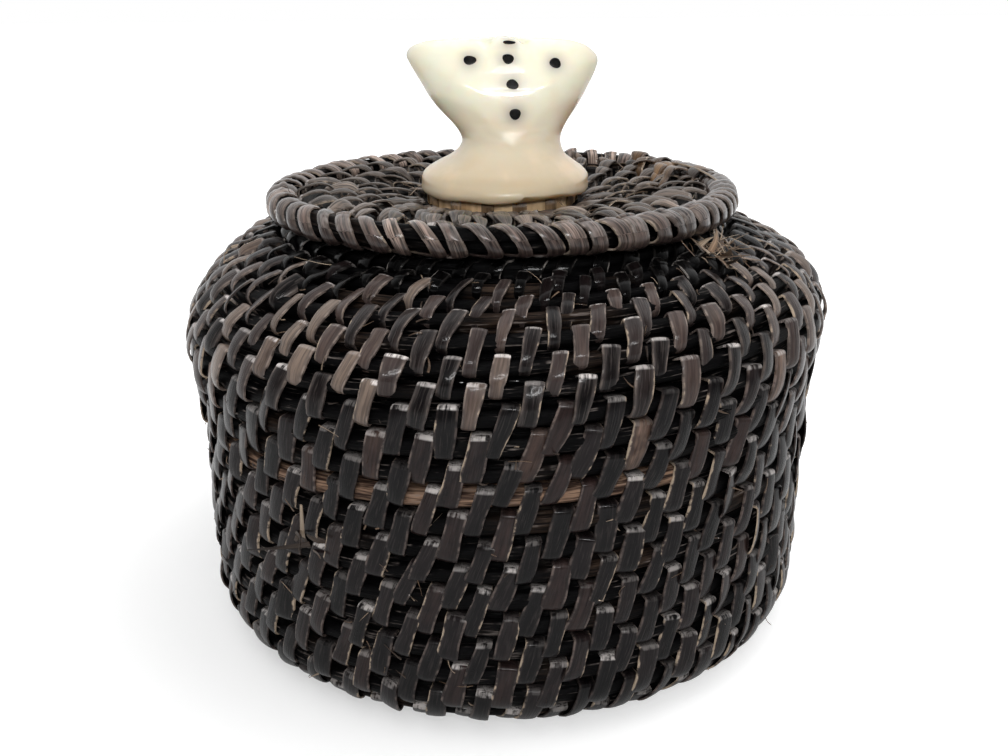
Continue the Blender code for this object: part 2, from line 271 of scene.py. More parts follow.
discLook = {
    "pale": (0.78, 0.56, 0.33),
    "dark": (0.44, 0.27, 0.135),
    "roughness": 0.32,
}

inlayLook = {
    "dark": (0.002, 0.002, 0.002),
    "grain": (0.012, 0.011, 0.01),
    "gloss": 0.2,
}


def stripFinish(name, look):
    f = Finish(name, {"Coat Weight": look["coat"], "Coat Roughness": look["coatRoughness"],
                      "Specular IOR Level": look["gloss"]})
    across, along, seed, tone, pale, worn = [
        f.mark(key) for key in ("across", "along", "seed", "tone", "pale", "worn")]
    side = abs(across)
    fibre = f.noise((across * 5.5 + seed * 91.0, along * 0.35, seed * 37.0), 3.0, 0.6)
    patch = f.noise((across * 0.7 + seed * 53.0, along * 0.45, seed * 71.0))
    ragged = f.noise((across * 1.3 + seed * 17.0, along * 1.1, seed * 11.0), 3.0)
    streak = f.noise((across * 3.2 + seed * 31.0, along * 0.22, seed * 57.0), 2.0, 0.6)
    colour = f.add("ShaderNodeValToRGB", {"stops": look["tones"]}, {0: tone + patch * 0.3 - 0.15})
    darker, lighter = colour * (1.0 - look["shade"]), colour * (1.0 + look["shade"] * 0.4)
    colour = f.blend(streak.rise(0.36, 0.62), darker, lighter)
    colour = f.blend(fibre.rise(0.5, 0.7) * look["fibreShare"], colour, look["fibre"])
    # painted shade towards each strip's sides
    colour = f.blend(side.rise(0.35, 0.9) * 0.6, colour, look["soft"])
    thin = side.rise(0.7, 0.9) * (ragged.rise(0.4, 0.66) * 0.5 + 0.05) * (0.3 + tone * 0.9)
    colour = f.blend(thin, colour, look["thinEdge"])
    # the upper fold painted paler: partly real wear, partly a painted highlight
    colour = f.blend(worn * (ragged + fibre * 0.5).rise(0.58, 0.84) * 0.9, colour, look["worn"])
    # painted shade: the rim's strips are painted darker below their middle, some pale all the way
    if "underside" in look:
        lit = f.axis(f.place(), "Z").rise(look["shadedBelow"], look["litAbove"]) + seed.rise(0.55, 0.95) * 0.7
        colour = f.blend(lit, f.blend(0.35, colour * 0.45, look["underside"]), colour)
    torn = (across + ragged * 0.6 - 0.3).rise(0.84, 1.0) * (pale + ragged * 1.4 - 0.7).rise(0.55, 0.8)
    return f.set({"Base Color": f.blend(torn * 0.9, colour, look["tornEdge"]),
                  "Roughness": look["roughness"] + fibre * 0.22 + torn * 0.2,
                  "Normal": f.bump(fibre, look["bumpHeight"], 0.8)})


def rodFinish(name, look):
    f = Finish(name, {"Specular IOR Level": look["gloss"]})
    around, along, tone, dull = [f.mark(key) for key in ("across", "along", "tone", "dull")]
    strand = f.noise((around * 13.0, along * 0.13, 3.0), 3.0, 0.65)
    dapple = f.noise((around * 1.2, along * 0.4, 8.0), 3.0)
    colour = f.blend(tone, look["black"], f.blend(strand.rise(0.4, 0.6), look["tanShade"], look["tan"]))
    # pale fibre streaks, partly painted glints; painted shade leaves them out where a rod is marked shaded
    shown = strand.rise(0.57, 0.65) * dapple.rise(0.42, 0.62) * (1.0 - dull) * 0.8
    return f.set({"Base Color": f.blend(shown, colour * (0.4 + strand), look["strand"]),
                  "Roughness": look["roughness"] + strand * 0.2,
                  "Normal": f.bump(strand, look["bumpHeight"])})


def ivoryFinish(name, look, foot):
    weight, radius, scale = look["glow"]
    f = Finish(name, {"Coat Roughness": look["coatRoughness"], "Subsurface Weight": weight,
                      "Subsurface Radius": radius, "Subsurface Scale": scale})
    cloud = f.noise(f.place(), 3.0, 0.55, 170.0)
    height = f.axis(f.place(), "Z")
    # painted shade and light: the foot darker, the top lighter
    colour = f.blend(height.rise(foot + 2 * mm, foot + 13 * mm), look["low"], look["high"])
    colour = f.blend(cloud.rise(0.46, 0.74) * 0.35 + f.mark("edge") * 0.45, colour, look["warm"])
    return f.set({"Base Color": f.blend(f.mark("hole") * 0.55, colour, look["holeShade"]),
                  "Roughness": look["roughness"] + cloud * 0.08,
                  "Coat Weight": height.rise(foot + 9 * mm, foot + 12 * mm) * 0.9 + 0.1})


def discFinish(name, look):
    f = Finish(name, {"Coat Weight": 0.2, "Coat Roughness": 0.15})
    cloud = f.noise(f.place() * (1.0, 1.0, 0.3), 3.0, 0.6, 420.0)
    return f.set({"Base Color": f.blend(cloud.rise(0.38, 0.66), look["pale"], look["dark"]),
                  "Roughness": look["roughness"] + cloud * 0.15})


def inlayFinish(name, look):
    f = Finish(name, {"Coat Weight": 0.1, "Coat Roughness": 0.12, "Specular IOR Level": look["gloss"]})
    grain = f.noise(f.place(), scale=2600.0)
    return f.set({"Base Color": f.blend(grain.rise(0.45, 0.8), look["dark"], look["grain"]),
                  "Roughness": 0.3 + grain * 0.2})


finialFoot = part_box("finial_tail")[0].z
strips = stripFinish("baleenStrips", stripLook)
shoulderStrips = stripFinish("shoulderBaleenStrips", shoulderStripLook)
neckShadeStrips = stripFinish("neckShadeBaleenStrips", neckShadeStripLook)
lidStrips = stripFinish("lidBaleenStrips", lidStripLook)
rimStrips = stripFinish("rimBaleenStrips", rimStripLook)
lashings = stripFinish("amberLashing", lashingLook)
fray = stripFinish("frayedBaleen", frayLook)
amberFray = stripFinish("amberBaleen", amberFrayLook)
rods = rodFinish("baleenRod", rodLook)
ivory = ivoryFinish("finialIvory", ivoryLook, finialFoot)
discIvory = discFinish("amberIvory", discLook)
inlayBlack = inlayFinish("inlayBlack", inlayLook)
print("finishes made")


# outlines: a wall's middle line, read by the distance along it

def arc(centre, radius, first, last):
    return [(centre[0] + radius * cos(a), centre[1] + radius * sin(a)) for a in np.linspace(first, last, 25)]


def ease(value, start=0.0, span=1.0):  # 0 up to start, 1 from a span further on, smooth between
    share = np.clip((value - start) / span, 0.0, 1.0)
    return share * share * (3.0 - 2.0 * share)


outlineShape = {
    "step": 0.1 * mm,
    "soften": 1.6 * mm,  # over this length its corners are rounded
    "beyond": 4.0 * mm,  # it runs on straight past both ends
}


class Outline:
    def __init__(self, points, side=1.0):
        points, step, beyond = np.array(points), outlineShape["step"], outlineShape["beyond"]
        strides = np.diff(points, axis=0)
        sizes = np.hypot(*strides.T)
        reach = np.concatenate([[0.0], np.cumsum(sizes)])
        self.length = reach[-1]
        self.s = np.arange(-beyond, self.length + beyond, step)
        inner = np.clip(self.s, 0.0, self.length)
        first, last = strides[0] / sizes[0], strides[-1] / sizes[-1]
        before, after = np.minimum(self.s, 0.0), np.maximum(self.s - self.length, 0.0)
        window = np.ones(int(outlineShape["soften"] / step))
        rows = []
        for axis in (0, 1):
            row = np.interp(inner, reach, points[:, axis]) + before * first[axis] + after * last[axis]
            padded = np.pad(row, len(window), mode="reflect", reflect_type="odd")
            rows.append(np.convolve(padded, window / window.sum(), "same")[len(window):-len(window)])
        self.r, self.z = rows
        slopeR, slopeZ = np.gradient(self.r), np.gradient(self.z)
        size = np.hypot(slopeR, slopeZ)
        self.outR, self.outZ, self.side = side * slopeZ / size, -side * slopeR / size, side

    def at(self, s, n, theta):  # distance along, height over the middle line, angle from the front
        r = np.interp(s, self.s, self.r) + n * np.interp(s, self.s, self.outR)
        z = np.interp(s, self.s, self.z) + n * np.interp(s, self.s, self.outZ)
        r, z = self.handmade(r, z, theta)
        return np.stack([r * np.sin(theta), -r * np.cos(theta), z], axis=-1)

    def radius(self, s):
        return np.interp(s, self.s, self.r)

    def handmade(self, r, z, theta):
        return r, z


bodyShape = {
    "footRadius": 27.0 * mm,
    "baseRise": 1.2 * mm,
    "heelRadius": 8.0 * mm,
    "flareStart": 33.0 * mm,
    "shoulderRadius": 12.0 * mm,
    "shoulderTurn": radians(64),
    "tilt": 1.1 * mm,  # the shoulder stands higher at the right than at the left
    "wobble": 0.22 * mm,  # of its radius, from hand work
}

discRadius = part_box("base_start_disc")[1].x
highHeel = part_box("heel_courses")[1]
lowShoulder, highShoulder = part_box("shoulder_courses")
lowMouth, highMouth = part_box("mouth_course")
lowFlange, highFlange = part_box("lid_flange_courses")
halfCoil, halfLid = 1.9 * mm, 1.5 * mm  # half the thickness of a course
lidDish = 2.3 * mm
seam = 0.3 * mm


def bodyOutline():
    b = bodyShape
    wall, bulge = highHeel.x - halfCoil, highShoulder.x - halfCoil
    heelCentre = (highHeel.x - b["heelRadius"], b["baseRise"] + b["heelRadius"])
    shoulderCentre = (highShoulder.x - b["shoulderRadius"], lowShoulder.z)
    points = [(discRadius + seam, halfCoil), (b["footRadius"], halfCoil)]
    points += arc(heelCentre, b["heelRadius"] - halfCoil, -pi / 2, 0.0)
    for share in np.linspace(0.0, 1.0, 12)[:-1]:
        height = b["flareStart"] + (lowShoulder.z - b["flareStart"]) * share
        points.append((wall + (bulge - wall) * float(ease(share)), height))
    points += arc(shoulderCentre, b["shoulderRadius"] - halfCoil, 0.0, b["shoulderTurn"])
    points.append((highMouth.x - halfCoil, (lowMouth.z + highMouth.z) / 2))
    outline = Outline(points)

    def handmade(r, z, theta):
        band = ease(z, 18 * mm, 24 * mm) * (1 - ease(z, 52 * mm, 6 * mm))
        z = z + b["tilt"] * np.sin(theta) * band
        r = r + b["wobble"] * (np.sin(2 * theta + 0.6) + 0.6 * np.sin(3 * theta + 2.0 + z * 60.0)) * band
        return r, np.maximum(z, seam / 10)

    outline.handmade = handmade
    return outline


def lidOutline():
    first, last = (discRadius + seam, rimMiddle - lidDish), (highLidRim.x - halfCoil, rimMiddle)
    return Outline([first, last], side=-1.0)


def flangeOutline():
    middle = highFlange.x - halfLid
    return Outline([(middle, lowFlange.z), (middle, highFlange.z)])


def collarOutline():  # a first round of rod that closes the step beside the lid's disc
    radius = discRadius + 0.9 * mm
    return Outline([(radius, rimMiddle - 2.5 * mm), (radius, rimMiddle - 0.7 * mm)])


# a coil: one rod that climbs a wall's outline, thin where it starts and where it ends

class Coil:
    def __init__(self, outline, look, half, seed):
        self.outline, self.look, self.half, self.seed = outline, look, half, seed
        self.top = outline.length - halfCoil  # the underside of the level last course
        turns = look["closeFrom"] / look["pitch"] + (self.top - look["closeFrom"]) / look["closePitch"]
        self.end = (turns + 1) * 2 * pi

    def valley(self, t):  # the groove under the rod at a turn of t; the one over it is a turn further on
        look = self.look
        climb = look["pitch"] * (t / (2 * pi) - 1)
        over = np.maximum(climb - look["closeFrom"], 0.0)
        climb = np.minimum(climb, look["closeFrom"]) + over * look["closePitch"] / look["pitch"]
        return np.clip(climb + uneven(t, look["wander"], self.seed), 0.0, self.top)

    def ledge(self, s):  # a course that stands out a little from the others
        return self.look["ledge"] * np.exp(-(((s - self.look["ledgeAt"]) / (1.6 * mm)) ** 2))


def uneven(t, size, seed):  # slow, repeatable unevenness along a coil
    phases = np.random.RandomState(seed).rand(6) * 6.28
    rates = (0.37, 0.83, 1.31, 2.17, 3.71, 5.3)
    return size * sum(np.sin(t * rate + phase) for rate, phase in zip(rates, phases)) / 3.0


def evenly(count):  # angles all round
    return np.arange(count) * 2 * pi / count


def unit(rows):
    return rows / np.linalg.norm(rows, axis=1)[:, None]


# mesh making

def newObject(name, data):
    thing = bpy.data.objects.new(name, data)
    bpy.context.scene.collection.objects.link(thing)
    return thing


def meshPiece(name, points, faces, material, marks, sharp=38, flip=False):
    if flip:
        faces = [face[::-1] for face in faces]
    mesh = bpy.data.meshes.new(name)
    mesh.from_pydata(points.reshape(-1, 3), [], faces)
    for key, values in marks.items():
        values = np.broadcast_to(values, points.shape[:-1])
        layer = mesh.attributes.new(key, "FLOAT", "POINT")
        layer.data.foreach_set("value", np.ascontiguousarray(values, np.float32).ravel())
    mesh.materials.append(material)
    mesh.shade_smooth()
    mesh.set_sharp_from_angle(angle=radians(sharp))
    mesh.update()
    return newObject(name, mesh)


def loopFaces(count, along, around):  # closed loops of a closed section
    faces = []
    for start in range(0, count * along * around, along * around):
        for i in range(along):
            a, b = start + i * around, start + (i + 1) % along * around
            faces += [(a + j, b + j, b + (j + 1) % around, a + (j + 1) % around) for j in range(around)]
    return faces


def tubeFaces(rings, sides, closed=False, capped=True):  # a tube through rings of points
    faces = []
    for i in range(rings if closed else rings - 1):
        a, b = i * sides, (i + 1) % rings * sides
        faces += [(a + j, a + (j + 1) % sides, b + (j + 1) % sides, b + j) for j in range(sides)]
    if capped and not closed:
        faces += [tuple(reversed(range(sides))), tuple(range((rings - 1) * sides, rings * sides))]
    return faces


def framePath(upper, lower):
    # round a frame, with rounder corners at one end than at the other: the share of its half-length
    # and of its half-height, and how far the corners cut in
    rows = []
    corners = ((1, 1, upper), (-1, 1, lower), (-1, -1, lower), (1, -1, upper))
    for turn, (a, b, corner) in enumerate(corners):
        for step in range(5):
            angle = radians(90 * turn + 22.5 * step)
            rows.append((a, b, corner * (cos(angle) - a), corner * (sin(angle) - b)))
        c, d, following = corners[(turn + 1) % 4]
        steps = (8 if b > 0 else 4) if b == d else 2  # more of them on the face that shows
        for share in np.arange(1, steps) / steps:
            x, y = a + (c - a) * share, b + (d - b) * share
            inset = corner + (following - corner) * share
            rows.append((x, y, -inset * x if b == d else 0.0, -inset * y if a == c else 0.0))
    return np.array(rows)


stripShape = {
    "width": 2.35 * mm,
    "thickness": 0.34 * mm,
    "lean": radians(16),
    "sway": 3.5,  # how unevenly they lean, in degrees
    "spacing": 5.4 * mm,
    "shift": 0.35 * mm,  # how far hand work moves a strip aside
    "corners": (0.38, 1.15),  # in mm, how round the upper and the lower fold are
    "crown": 0.08 * mm,  # how far they arch
    "lift": 0.0,  # off the rod
    "hang": 0.12 * mm,  # how much nearer the rod the upper end lies
    "drop": 0.0,  # how far the hidden side is drawn in at the outer end
    "under": 1.0,  # no part goes deeper than this
    "runOn": 0.0,  # 1 where they go on round the rod at the same slope
    "bulge": 0.0,  # of the section
    "slim": 0.0,  # how much narrower than their width
    "taper": 0.0,  # at both ends
    "point": 0.0,  # at the lower end
    "tones": (0.0, 0.95),
    "fade": 0.0,  # how much darker
    "wearAndHighlight": 1.0,  # on the fold: partly real wear, partly a painted highlight
}

section = np.array([(-1.0, -0.35), (-0.97, 0.25), (-0.7, 0.48), (0.0, 0.6), (0.7, 0.48), (0.97, 0.25),
                    (1.0, -0.35), (0.0, -0.4)])


def bindings(name, outline, low, high, theta, half, material, seed, **changes):
    # closed strips round the wall from distance low to high, one at each angle theta; the arrays run
    # over the strips, the path round the wall and the section
    b = dict(stripShape, **changes)
    rng, strip = np.random.RandomState(seed), (len(theta), 1, 1)

    def each(values):  # one value to a strip
        return np.broadcast_to(values, strip[0]).reshape(strip)

    low, high, theta, half = each(low), each(high), each(theta), each(half)
    width = each(b["width"]) * (1 - each(b["slim"])) * (1 + rng.uniform(-0.13, 0.13, strip))
    tilt = rng.normal(0.0, 0.16, strip) * mm
    turned = each(b["lean"]) + np.radians(rng.normal(0.0, b["sway"], strip))
    shift = rng.uniform(-1.0, 1.0, strip) * b["shift"]
    raised = each(b["lift"]) + rng.uniform(-0.06, 0.12, strip) * mm
    bow, phase = rng.normal(0.0, 0.09, strip) * mm, rng.uniform(0, 6.28, strip)
    middle, reach = (low + high) / 2, (high - low) / 2 * (1 + rng.uniform(-0.05, 0.03, strip))
    upper, lower = b["corners"]
    along, face, cutAlong, cutFace = framePath(upper * mm, lower * mm).T[:, :, None]
    s = middle + along * reach + cutAlong
    n = face * (half - b["thickness"] / 2 + raised) + cutFace
    n = n + face * (1 - along ** 2) * (each(b["crown"]) + bow)
    far = 0.5 + 0.5 * along  # of the outer end
    n = n - b["drop"] * far * (face < 0) - b["hang"] * along * (face > 0)
    n = np.maximum(n, -b["under"])
    side, up = section[:, 0], section[:, 1] * b["thickness"] + b["bulge"] * (1 - section[:, 0] ** 2)
    x = width / 2 * side * (1 + 0.08 * np.sin(along * 2.2 + phase))
    nextS, nextN = [np.roll(row, -1, 1) - np.roll(row, 1, 1) for row in (s, n)]
    size = np.hypot(nextS, nextN)
    outS, outN = nextN / size, -nextS / size
    x = x * (1 - b["taper"] * along ** 2)
    x = x * (1 - each(b["point"]) * (1 - far) ** 1.5)
    fullS = s + outS * up - 0.3 * np.sin(turned) * x
    fullN = n + outN * up + tilt * side * face
    slide = (s - middle + b["runOn"] * far * (half - n)) * np.tan(turned)
    angle = theta + (shift + slide + np.cos(turned) * x) / outline.radius(fullS)
    points = outline.at(fullS, fullN, angle)
    # the fold at the upper end, up to its crease: where the wear and the painted highlight go
    fold = (along > 0.99) * np.where(face > 0.99, cutFace < -0.05 * upper * mm, (face > 0.3) * 0.2)
    marks = {
        "across": side * np.where(rng.rand(*strip) < 0.5, -1.0, 1.0),
        "along": np.concatenate([np.zeros(strip), np.cumsum(size[:, :-1] / 2, axis=1)], axis=1) / mm,
        "seed": rng.rand(*strip),
        "tone": rng.uniform(*b["tones"], strip) * (1 - each(b["fade"])),
        "pale": rng.rand(*strip) ** 1.3,
        "worn": b["wearAndHighlight"] * rng.rand(*strip) ** 1.9 * fold,
    }
    return meshPiece(name, points, loopFaces(strip[0], len(along), len(section)), material, marks,
                     flip=outline.side < 0)


def stitchTurns(coil):
    # the turns at which strips lie: so many to a course and a half one over, so that the strips of
    # each course fall between those of the last
    turns, t, most = [], 0.3, 0
    while t < coil.end - 0.4:
        turns.append(t)
        wanted = 2 * pi * float(coil.outline.radius(coil.valley(t + pi))) / stripShape["spacing"]
        most = max(most, min(coil.look["counts"], key=lambda count: abs(count - wanted)))
        t += 2 * pi / (most + 0.5)
    return np.array(turns)


def coilBindings(zones, coil, turns, seed, **changes):
    low, middle, high = [coil.valley(turns + turn * pi) for turn in (-2, 0, 2)]
    room = high - middle > 0.8 * mm
    lift = uneven(turns, 0.12 * mm, 5) + coil.ledge(middle)
    wallFade, shoulderFade, *fadeRange = coil.look["fade"]
    pieces, start = [], -1.0
    for name, end, material in zones:
        mine = room & (middle >= start) & (middle < end)
        at = middle[mine]
        grown = {key: coil.look[key][0] * ease(at, *coil.look[key][1:])
                 for key in ("crown", "slim", "point")}
        # painted shade and light: tones run darker on the wall and lighter up the shoulder
        grown["fade"] = wallFade + (shoulderFade - wallFade) * ease(at, *fadeRange)
        theta = coil.look["startAngle"] + turns[mine]
        pieces.append(bindings(
            name, coil.outline, low[mine] + 0.6 * mm, high[mine] - 0.22 * mm, theta, coil.half, material,
            seed + len(pieces), lift=lift[mine], **grown, **changes))
        start = end
    return pieces


# a rod's section: it meets its neighbours in thin webs at the bottom of deep grooves
rodQuarter = ((1.0, 0.0), (0.74, 0.1), (0.65, 0.42), (0.53, 0.8), (0.3, 0.97))
rodHalf = [*rodQuarter, (0.0, 1.0), *[(-x, y) for x, y in reversed(rodQuarter)]]
rodSection = np.array(rodHalf + [(-x, -y) for x, y in rodHalf[1:-1]])


def rodPiece(name, outline, t, theta, middle, half, depth, tone, dull, closed=False):
    t, theta, middle, half, depth, tone, dull = [
        np.broadcast_to(values, len(t))[:, None] for values in (t, theta, middle, half, depth, tone, dull)]
    points = outline.at(middle + half * rodSection[:, 0], depth * rodSection[:, 1], theta)
    # the mark goes up and down again round the section, so that it meets itself
    marks = {"across": np.abs(evenly(len(rodSection)) / pi - 1.0),
             "along": t * float(outline.radius(middle.mean())) / mm, "tone": tone, "dull": dull}
    faces = tubeFaces(len(t), len(rodSection), closed)
    return meshPiece(name, points, faces, rods, marks, sharp=70, flip=outline.side < 0)


def coilRod(name, coil, seed, sunk=0.0, pale=(0.0, 0.0, 0.0)):
    t = np.arange(0.06, coil.end, 0.06)
    low, high = coil.valley(t), coil.valley(t + 2 * pi)
    middle, half = (low + high) / 2, np.maximum((high - low) / 2 - 0.03 * mm, 0.05 * mm)
    depth = coil.half - 0.22 * mm - sunk + uneven(t, 0.1 * mm, seed + 1) + coil.ledge(middle)
    tone = np.clip(uneven(t * 3.0, 0.12, seed + 2) - 0.06, 0.0, 0.12)
    start, end, level = pale
    tone = np.where((t > start) & (t < end), level + tone, tone)
    dull = ease(middle, coil.look["shadedFrom"], 3 * mm)
    depth = np.minimum(depth, half * 1.6)
    return rodPiece(name, coil.outline, t, coil.look["startAngle"] + t, middle, half, depth, tone, dull)


def levelRod(name, outline, s, half, depth, seed, tone=0.1, dull=0.0):
    t = np.linspace(0.0, 2 * pi, 120, endpoint=False)
    tone = np.clip(uneven(t * 5, tone, seed), 0.0, tone)
    return rodPiece(name, outline, t, t, s, half, depth, tone, dull, closed=True)


looseShape = {  # lengths and widths in mm
    "tones": (0.3, 1.0),
    "height": halfCoil,  # over the wall's middle line
    "tip": 0.12,  # its share of the width
    "curl": 0.28,
}


def loosePiece(name, outline, changes):  # hairs, splinters and torn strips that stand off the work
    look = dict(looseShape, **changes)
    rng, count, n = np.random.RandomState(look["seed"]), look["count"], look["height"]
    if "at" in look:
        s, theta = [at + rng.normal(0, spread, count) * unit
                    for at, spread, unit in zip(look["at"], look["spread"], (mm, 1.0))]
    else:
        s, theta = rng.uniform(*look["between"], count), rng.uniform(0, 2 * pi, count)
    length = rng.uniform(*look["length"], count)[:, None] * mm
    if "shares" in look:
        width = rng.choice(look["width"], count, p=look["shares"])[:, None] * mm
    else:
        width = rng.uniform(*look["width"], count)[:, None] * mm
    thick, stand = look["thick"], look["stand"]
    rng = np.random.RandomState(look["seed"] + 1)
    root = outline.at(s, np.full(count, n), theta)

    def toward(ds, dn, dTheta):
        return unit(outline.at(s + ds, np.full(count, n + dn), theta + dTheta) - root)

    up, out, side = toward(0.1 * mm, 0, 0), toward(0, 0.1 * mm, 0), toward(0, 0, 0.01)
    heading = rng.uniform(0, 2 * pi, count)[:, None]
    first = np.cos(heading) * up + np.sin(heading) * side + stand * rng.uniform(0.2, 1.0, (count, 1)) * out
    bend = rng.normal(0, look["curl"], (count, 3))
    rings = []
    for share in np.linspace(0.0, 1.0, 6):
        wide = 1.0 - (1.0 - look["tip"]) * share**2
        centre = root + length * (share * first + share**2 * (bend - 0.25 * stand * out)) - 0.1 * mm * out
        along = first + 2 * share * (bend - 0.25 * stand * out)
        across = unit(np.cross(along, out + 0.01))
        lift = unit(np.cross(across, along))
        half = width * wide / 2
        rings.append(np.stack([centre - across * half, centre + lift * thick * 0.5, centre + across * half,
                               centre - lift * thick * 0.5], axis=1))
    faces = []
    for start in range(0, count * 24, 24):  # six rings of four points
        for a in range(start, start + 20, 4):
            faces += [(a + j, a + 4 + j, a + 4 + (j + 1) % 4, a + (j + 1) % 4) for j in range(4)]
        faces += [tuple(range(start, start + 4)), tuple(range(start + 23, start + 19, -1))]
    marks = {
        "across": np.array([-1.0, 0.0, 1.0, 0.0]) * 0.7,
        "along": np.arange(6)[:, None] * 0.5,
        "seed": rng.rand(count, 1, 1),
        "tone": rng.uniform(*look["tones"], (count, 1, 1)),
        "pale": rng.rand(count, 1, 1) * 0.4,
        "worn": 0.0,
    }
    return meshPiece(name, np.stack(rings, axis=1), faces, fray, marks)


# the body

bodyCoilShape = {
    "pitch": 3.4 * mm,
    "closePitch": 2.55 * mm,  # on the shoulder
    "closeFrom": 71.5 * mm,
    "ledge": 0.35 * mm,
    "ledgeAt": 72.8 * mm,
    "startAngle": radians(-62),
    "wander": 0.22 * mm,
    "counts": (18, 22, 27, 32, 38, 45),  # strips to a course
    "shadedFrom": 81.0 * mm,  # painted shade: from here the neck's rods are plain black, their pale strands left out
    # what changes along the coil: how much, from where, and over how far
    "crown": (0.16 * mm, 0.0, 9 * mm),
    "slim": (0.3, 68 * mm, 16 * mm),
    "point": (0.15, 60 * mm, 10 * mm),
    "fade": (0.26, -0.1, 56 * mm, 14 * mm),  # painted shade on the wall, and painted light on the shoulder, which faces the light from above
    # the course whose rod is pale, from which to which angle, and its tone
    "tan": (59.5 * mm, 0.1, 1.62, 0.75),
}

bodyZones = (
    ("baseStrips", 22.0 * mm, strips),
    ("heelStrips", 34.0 * mm, strips),
    ("wallStrips", 53.0 * mm, strips),
    ("highWallStrips", 70.0 * mm, strips),
    ("shoulderStrips", 84.5 * mm, shoulderStrips),
    ("neckShadeStrips", 1.0, neckShadeStrips),
)

# painted shade: the mouth's strips get near-black tones under the lid's rim
mouthStripShape = dict(lean=radians(30), corners=(1.5, 1.5), runOn=1.0, wearAndHighlight=0.3, tones=(0.0, 0.2))

bodyLoose = {
    "bodyHairs": dict(
        seed=5, count=70, between=(34 * mm, 88 * mm), length=(1.0, 3.4), width=(0.11, 0.11), thick=0.08 * mm,
        stand=0.35, tones=(0.5, 1.0)),
    "bodySplinters": dict(
        seed=7, count=260, between=(28 * mm, 88 * mm), length=(0.7, 1.9), width=(0.12, 0.35), thick=0.1 * mm,
        stand=0.5, tones=(0.0, 0.9)),
    "tuft": dict(  # on the shoulder, under the lid's edge
        seed=12, count=80, at=(86.5 * mm, radians(54)), spread=(1.3, 0.06), length=(1.5, 5.0),
        width=(0.15, 0.25, 0.9), shares=(0.5, 0.35, 0.15), thick=0.12 * mm, stand=0.8, tones=(0.4, 1.0)),
    "tornStrip": dict(  # a strip that has come loose
        seed=15, count=7, at=(52.5 * mm, radians(-34)), spread=(1.2, 0.04), length=(2.5, 4.5),
        width=(0.3, 1.3), thick=0.16 * mm, stand=0.5, tones=(0.1, 0.9), tip=0.6, curl=0.5),
}

ringStrips = 46  # round the mouth, and round the flange
rimHalf = halfCoil - 0.15 * mm  # how far the mouth's and the rim's strips lie from the rod's middle

body = bodyOutline()
bodyCoil = Coil(body, bodyCoilShape, halfCoil, 3)
bodyTurns = stitchTurns(bodyCoil)
bodyPieces = coilBindings(bodyZones, bodyCoil, bodyTurns, 11)
tanCourse, tanStart, tanEnd, tanTone = bodyCoilShape["tan"]
tanTurn = (tanCourse / bodyCoilShape["pitch"] + 0.5) * 2 * pi
bodyPieces += [
    coilRod("bodyRod", bodyCoil, 31, pale=(tanTurn + tanStart, tanTurn + tanEnd, tanTone)),
    # painted shade: the mouth's strips and rod are near black under the lid's rim
    bindings("mouthStrips", body, body.length - halfCoil, body.length + halfCoil, evenly(ringStrips),
             rimHalf, neckShadeStrips, 47, **mouthStripShape),
    levelRod("mouthRod", body, body.length, half=1.5 * mm, depth=1.5 * mm, seed=51, tone=0.0, dull=1.0)]
bodyPieces += [loosePiece(name, body, shape) for name, shape in bodyLoose.items()]
for piece in bodyPieces:
    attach(piece, "basket")
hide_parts("base_courses")
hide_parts("heel_courses")
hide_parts("wall_courses")
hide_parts("shoulder_courses")
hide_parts("mouth_course")
print("body woven:", len(bodyTurns), "strips")


# the lid

lidCoilShape = dict(
    bodyCoilShape,
    closePitch=3.4 * mm,
    closeFrom=0.0,
    ledge=0.0,
    startAngle=radians(115),
    wander=0.15 * mm,
    counts=(14, 18, 22, 26, 31),
    shadedFrom=1.0,
    crown=(0.7 * mm, 0.0, 9 * mm),
    slim=(0.0,),
    point=(0.0,),
    fade=(0.0, 0.0),
)

lidStripShape = dict(width=1.95 * mm, taper=0.5, hang=0.0, bulge=0.04 * mm, tones=(0.1, 0.9))

lid = lidOutline()
lidCoil = Coil(lid, lidCoilShape, halfLid, 9)
lidTurns = stitchTurns(lidCoil)
lidPieces = coilBindings([("lidStrips", 1.0, lidStrips)], lidCoil, lidTurns, 61, **lidStripShape)
lidPieces.append(coilRod("lidRod", lidCoil, 67, sunk=0.9 * mm))


def crowded(angle):  # from just right of the front to the back, the rim's strips lie flat side by side
    return ease(angle, radians(4), 0.25) * (1 - ease(angle, 2.3, 0.3))


rimSpacing, closerBy = 3.5, 0.8  # in mm
rimAngles = [radians(-150)]
while rimAngles[-1] < radians(207):
    step = float(rimSpacing - closerBy * crowded(rimAngles[-1])) * mm / float(lid.radius(lid.length))
    rimAngles.append(rimAngles[-1] + step)
rimAngles = np.array(rimAngles)

rimStripShape = dict(
    lean=np.radians(31 - 14 * crowded(rimAngles)), sway=4.0, width=(2.2 + 0.35 * crowded(rimAngles)) * mm,
    corners=(1.5, 1.5), runOn=1.0, drop=0.3 * mm, hang=0.0, bulge=0.11 * mm, tones=(0.1, 0.95),
    fade=0.5 * ease(rimAngles, 0.15, 0.3) * (rimAngles < 2.0), wearAndHighlight=0.25)

# strips that were laid in at the back right, in another baleen: at which angles, in degrees, how far
# from the disc, in mm, and half their length
spliceCount, spliceBetween, spliceAcross, spliceHalf = 12, (99, 135), (14.0, 19.0), 2.6 * mm
spliceShape = dict(lean=radians(25), sway=30, width=2.7 * mm, tones=(0.1, 1.0), crown=0.9 * mm, taper=0.35,
                   hang=0.0, under=1.3 * mm, wearAndHighlight=0.0)

lidHairShape = dict(seed=25, count=110, between=(1.0 * mm, 21 * mm), length=(0.8, 2.6), width=(0.1, 0.3),
                    thick=0.09 * mm, stand=0.7, height=halfLid)

